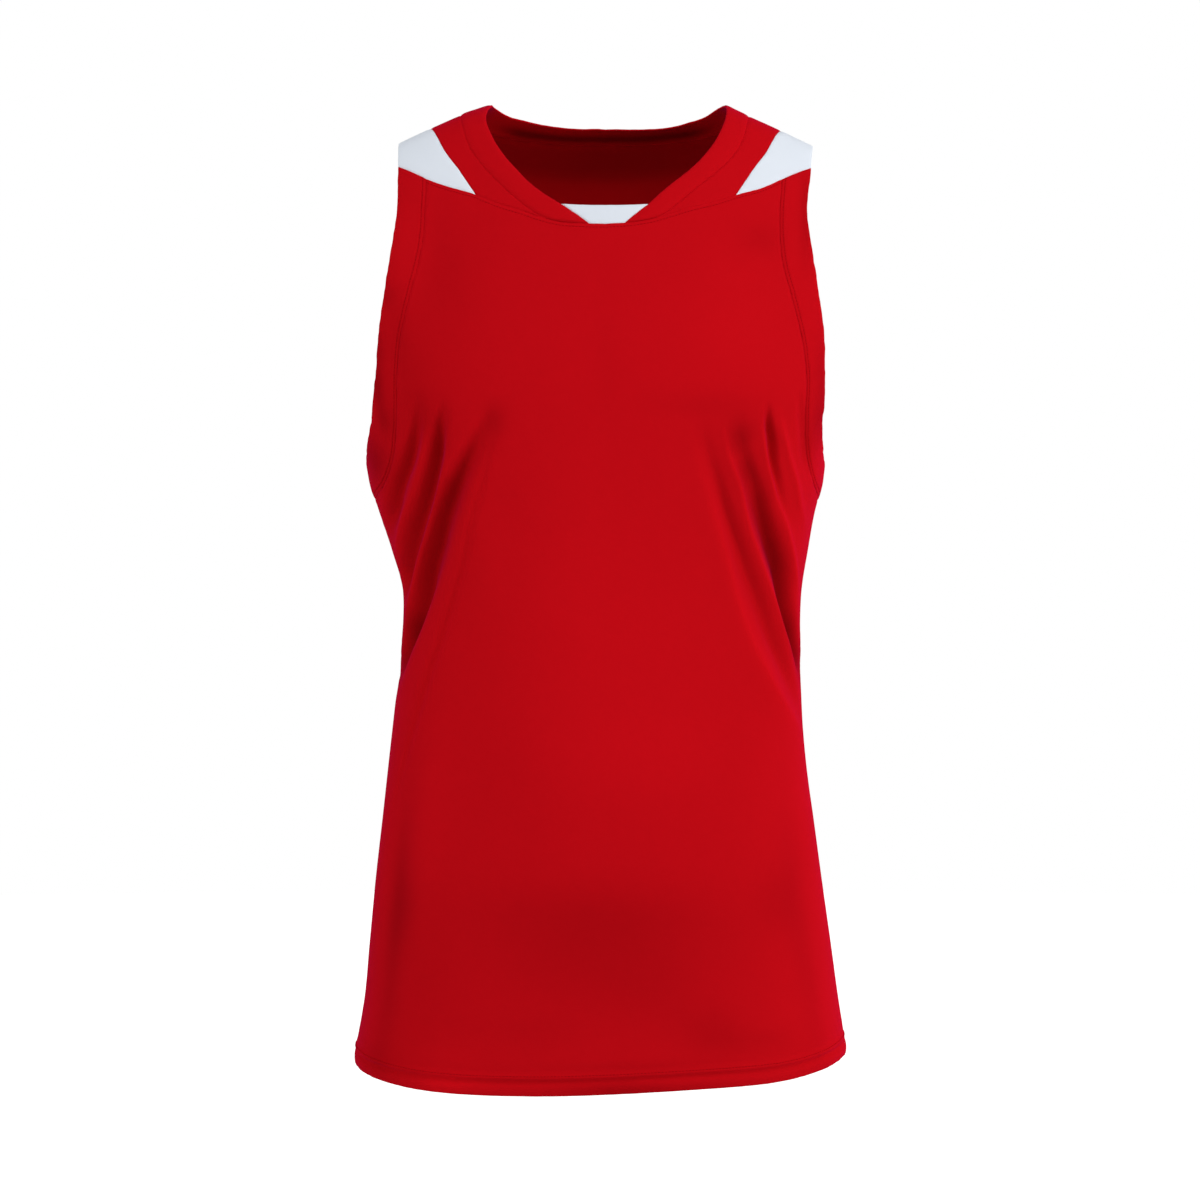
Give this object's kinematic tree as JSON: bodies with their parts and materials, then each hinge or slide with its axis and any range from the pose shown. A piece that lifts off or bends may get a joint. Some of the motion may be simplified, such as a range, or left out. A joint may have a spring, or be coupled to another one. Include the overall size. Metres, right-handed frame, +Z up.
{
  "type": "basketball jersey",
  "caption": "Sleeveless knit sports jersey, filled out as worn with no wearer, with a V neck, contrast shoulder inserts and open armholes, neck and hem.",
  "frame": {"origin": "between the shoulders, where the straps rest on the wearer: mid depth of the body, 15 mm below the highest point of the collar", "axes": "+Z up along the body, +Y towards the back, so the front faces -Y, and +X towards the wearer's left"},
  "size_m": [0.3873, 0.246, 0.7629],
  "materials": {
    "red_knit": "smooth polyester interlock knit with a soft sheen",
    "white_knit": "smooth white polyester knit"
  },
  "bodies": {
    "root": {"front_panel": "red_knit", "back_panel": "red_knit", "yoke_left": "red_knit", "yoke_right": "red_knit", "shoulder_insert_left": "white_knit", "shoulder_insert_right": "white_knit", "collar": "red_knit", "neck_insert": "white_knit", "armhole_band_left": "red_knit", "armhole_band_right": "red_knit"}
  },
  "joints": []
}
